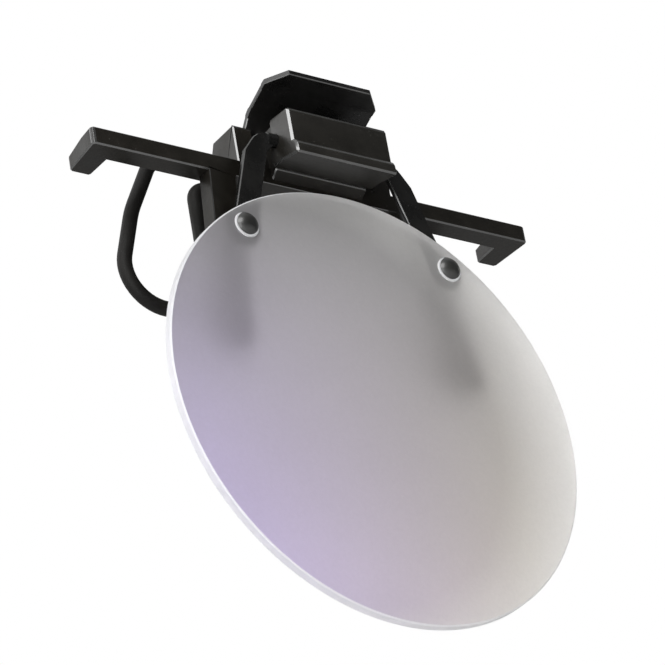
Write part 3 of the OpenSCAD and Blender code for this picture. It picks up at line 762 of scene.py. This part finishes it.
# %% Disc
HOLE_R, RIM_CORNER = 0.66 * MM, 0.15 * MM
UPRIGHT = Matrix.Rotation(math.pi / 2, 4, "X")
disc_low, disc_high = (Vector(c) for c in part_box("disc"))
rivet_low, rivet_high = (Vector(c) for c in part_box("left_rivet"))
disc_r, disc_t, disc_z = (disc_high.x - disc_low.x) / 2, disc_high.y - disc_low.y, (disc_high.z + disc_low.z) / 2
rivet_x, rivet_up = (rivet_high.x + rivet_low.x) / 2, (rivet_high.z + rivet_low.z) / 2 - disc_z
disc = grow("frosted_disc", start_mesh("rivet spots", [(x, rivet_up, 0) for x in (rivet_x, -rivet_x)]),
            make_disc_tree(disc_r, disc_t, RIM_CORNER),
            {"Radius": disc_r - RIM_CORNER, "Hole Radius": HOLE_R, "Face": FROSTED, "Rim": RIM},
            Matrix.Translation((0, disc_high.y, disc_z)) @ UPRIGHT)
disc.data.shade_flat()
stand_for(disc, "blind", "frosted", "disc")
print("disc", [round(v / MM, 2) for v in disc.dimensions], "mm")

# %% [markdown]
# ## Raised rings at the rivets
# Where a rivet is pressed into the sheet, the plastic rises in a clear ring round its head and catches the
# light. The ring is a thin torus set into the front face, a little low and to the left of each head, where
# the photograph shows the light. One small tree puts it at both.

# %% Pressed rings
RING_R, BEAD_R, BEAD_SET_IN = 1.31 * MM, 0.17 * MM, 0.03 * MM
RING_LEFT, RING_DOWN = 0.15 * MM, 0.22 * MM
RING_POINTS, BEAD_POINTS = 64, 12


def make_ring_tree():
    """A thin torus at each point that it is given."""
    tree, given, piece = new_tree("pressed ring", [
        ("Ring Radius", "Float"), ("Bead Radius", "Float"), ("Finish", "Material")])
    ring = swept(tree, circle(tree, given["Ring Radius"], RING_POINTS), circle(tree, given["Bead Radius"], BEAD_POINTS))
    fill(tree, piece, paint(tree, at_points(tree, given["Start"], ring), given["Finish"]))
    return tree


ring_spots = [(x - RING_LEFT, rivet_up - RING_DOWN, 0) for x in (rivet_x, -rivet_x)]
rings = grow("pressed_rings", start_mesh("ring spots", ring_spots), make_ring_tree(),
             {"Ring Radius": RING_R, "Bead Radius": BEAD_R, "Finish": RIM},
             Matrix.Translation((0, disc_low.y + BEAD_SET_IN, disc_z)) @ UPRIGHT)
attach(rings, "blind")

# %% [markdown]
# ## Camera
# The photograph looks up at the clip from the front, left and below, from about 0.4 m away. The camera's place
# and turn were fitted to the disc's outline and to the clip's symmetric corners, and are given as real sizes.

# %% Camera
IMAGE_SIDE, FOCAL_PIXELS, SENSOR = 665.0, 3939.94, 36.0
CAMERA_PLACE = Vector((-226.26, -278.30, -198.12)) * MM
RIGHT = Vector((0.81591538, -0.55728163, -0.15401067))
DOWN = Vector((0.16939028, 0.48509363, -0.85789924))
FORWARD = Vector((0.55280107, 0.67388527, 0.49019345))
camera_data = bpy.data.cameras.new("photograph")
camera_data.sensor_width = SENSOR
camera_data.lens = FOCAL_PIXELS / IMAGE_SIDE * SENSOR
camera_data.clip_start = 10 * MM
camera = add_object("photograph", camera_data)
camera.matrix_world = Matrix.Translation(CAMERA_PLACE) @ Matrix((RIGHT, -DOWN, -FORWARD)).transposed().to_4x4()
bpy.context.scene.camera = camera
print("focal length", round(camera_data.lens, 1), "mm, distance", round(camera.location.length, 3), "m")

# %% [markdown]
# ## The world
# The clip is photographed against pure white. The world is white to the camera and through the frosted disc.
# Glossy faces mirror a white backdrop behind the clip and a dimmer room in front of it, as in a real studio,
# and soft light comes at a plain level, so the background costs no extra light on the object.

# %% World
BACKDROP_SIDE = (-0.55, 0.67, 0.5)
MIRRORED_BAND = (-0.1, 0.95)


def set_world(seen, lit, room):
    """A white backdrop behind the object, a dimmer room in front, and a plain level for soft light."""
    world = bpy.data.worlds.new("white studio")
    bpy.context.scene.world = world
    world.use_nodes = True
    tree = world.node_tree
    background = tree.nodes["Background"].inputs
    ray = add_node(tree, "ShaderNodeLightPath").outputs
    way = add_node(tree, "ShaderNodeTexCoord").outputs["Generated"]
    mirrored = remap(tree, measure(tree, "DOT_PRODUCT", way, BACKDROP_SIDE), MIRRORED_BAND, (room, seen))
    unseen = mix(tree, "FLOAT", ray["Is Glossy Ray"], lit, mirrored)
    direct = calculate(tree, "MAXIMUM", ray["Is Camera Ray"], ray["Is Transmission Ray"])
    fill(tree, background["Strength"], mix(tree, "FLOAT", direct, unseen, seen))
    background["Color"].default_value = (1, 1, 1, 1)


set_world(seen=1.0, lit=0.45, room=0.1)
print("world", bpy.context.scene.world.name)

# %% [markdown]
# ## Floor and lamps
# A pale floor lies below the camera and keeps the object's shadow in views from above. Three large, soft lamps
# light the clip from the photograph's side: a key from above, a weaker one from below and one behind it, which
# brings out the left ends.

# %% Floor and lamps
FLOOR_Z, FLOOR_REACH = -0.26, 3.0
FLOOR_TONE, FLOOR_ROUGHNESS = (0.86, 0.86, 0.86, 1), 0.8
# Each lamp: its place, its width and its power.
LAMPS = {
    "key": ((-0.45, -0.35, 0.35), 0.42, 2.6),
    "low front": ((-0.5, -0.3, -0.1), 0.35, 1.1),
    "left back": ((-0.5, 0.45, 0.42), 0.34, 0.6),
}


def add_floor(height, reach):
    """A pale square floor, which isn't part of the object."""
    mesh = bpy.data.meshes.new("floor")
    mesh.from_pydata([(x * reach, y * reach, height) for x, y in ((-1, -1), (1, -1), (1, 1), (-1, 1))],
                     [], [(0, 1, 2, 3)])
    material, _, shader = new_material("pale floor")
    shader.inputs["Base Color"].default_value = FLOOR_TONE
    shader.inputs["Roughness"].default_value = FLOOR_ROUGHNESS
    mesh.materials.append(material)
    add_object("floor", mesh)


def add_lamp(name, place, size, power):
    """A square lamp that faces the clip."""
    data = bpy.data.lights.new(name, "AREA")
    data.size = size
    data.energy = power
    lamp = add_object(name, data)
    lamp.location = place
    lamp.rotation_euler = (-Vector(place)).to_track_quat("-Z", "Y").to_euler()


add_floor(FLOOR_Z, FLOOR_REACH)
for lamp_name, settings in LAMPS.items():
    add_lamp(lamp_name, *settings)
bpy.context.scene.view_settings.view_transform = "Standard"
print("lamps", list(LAMPS))
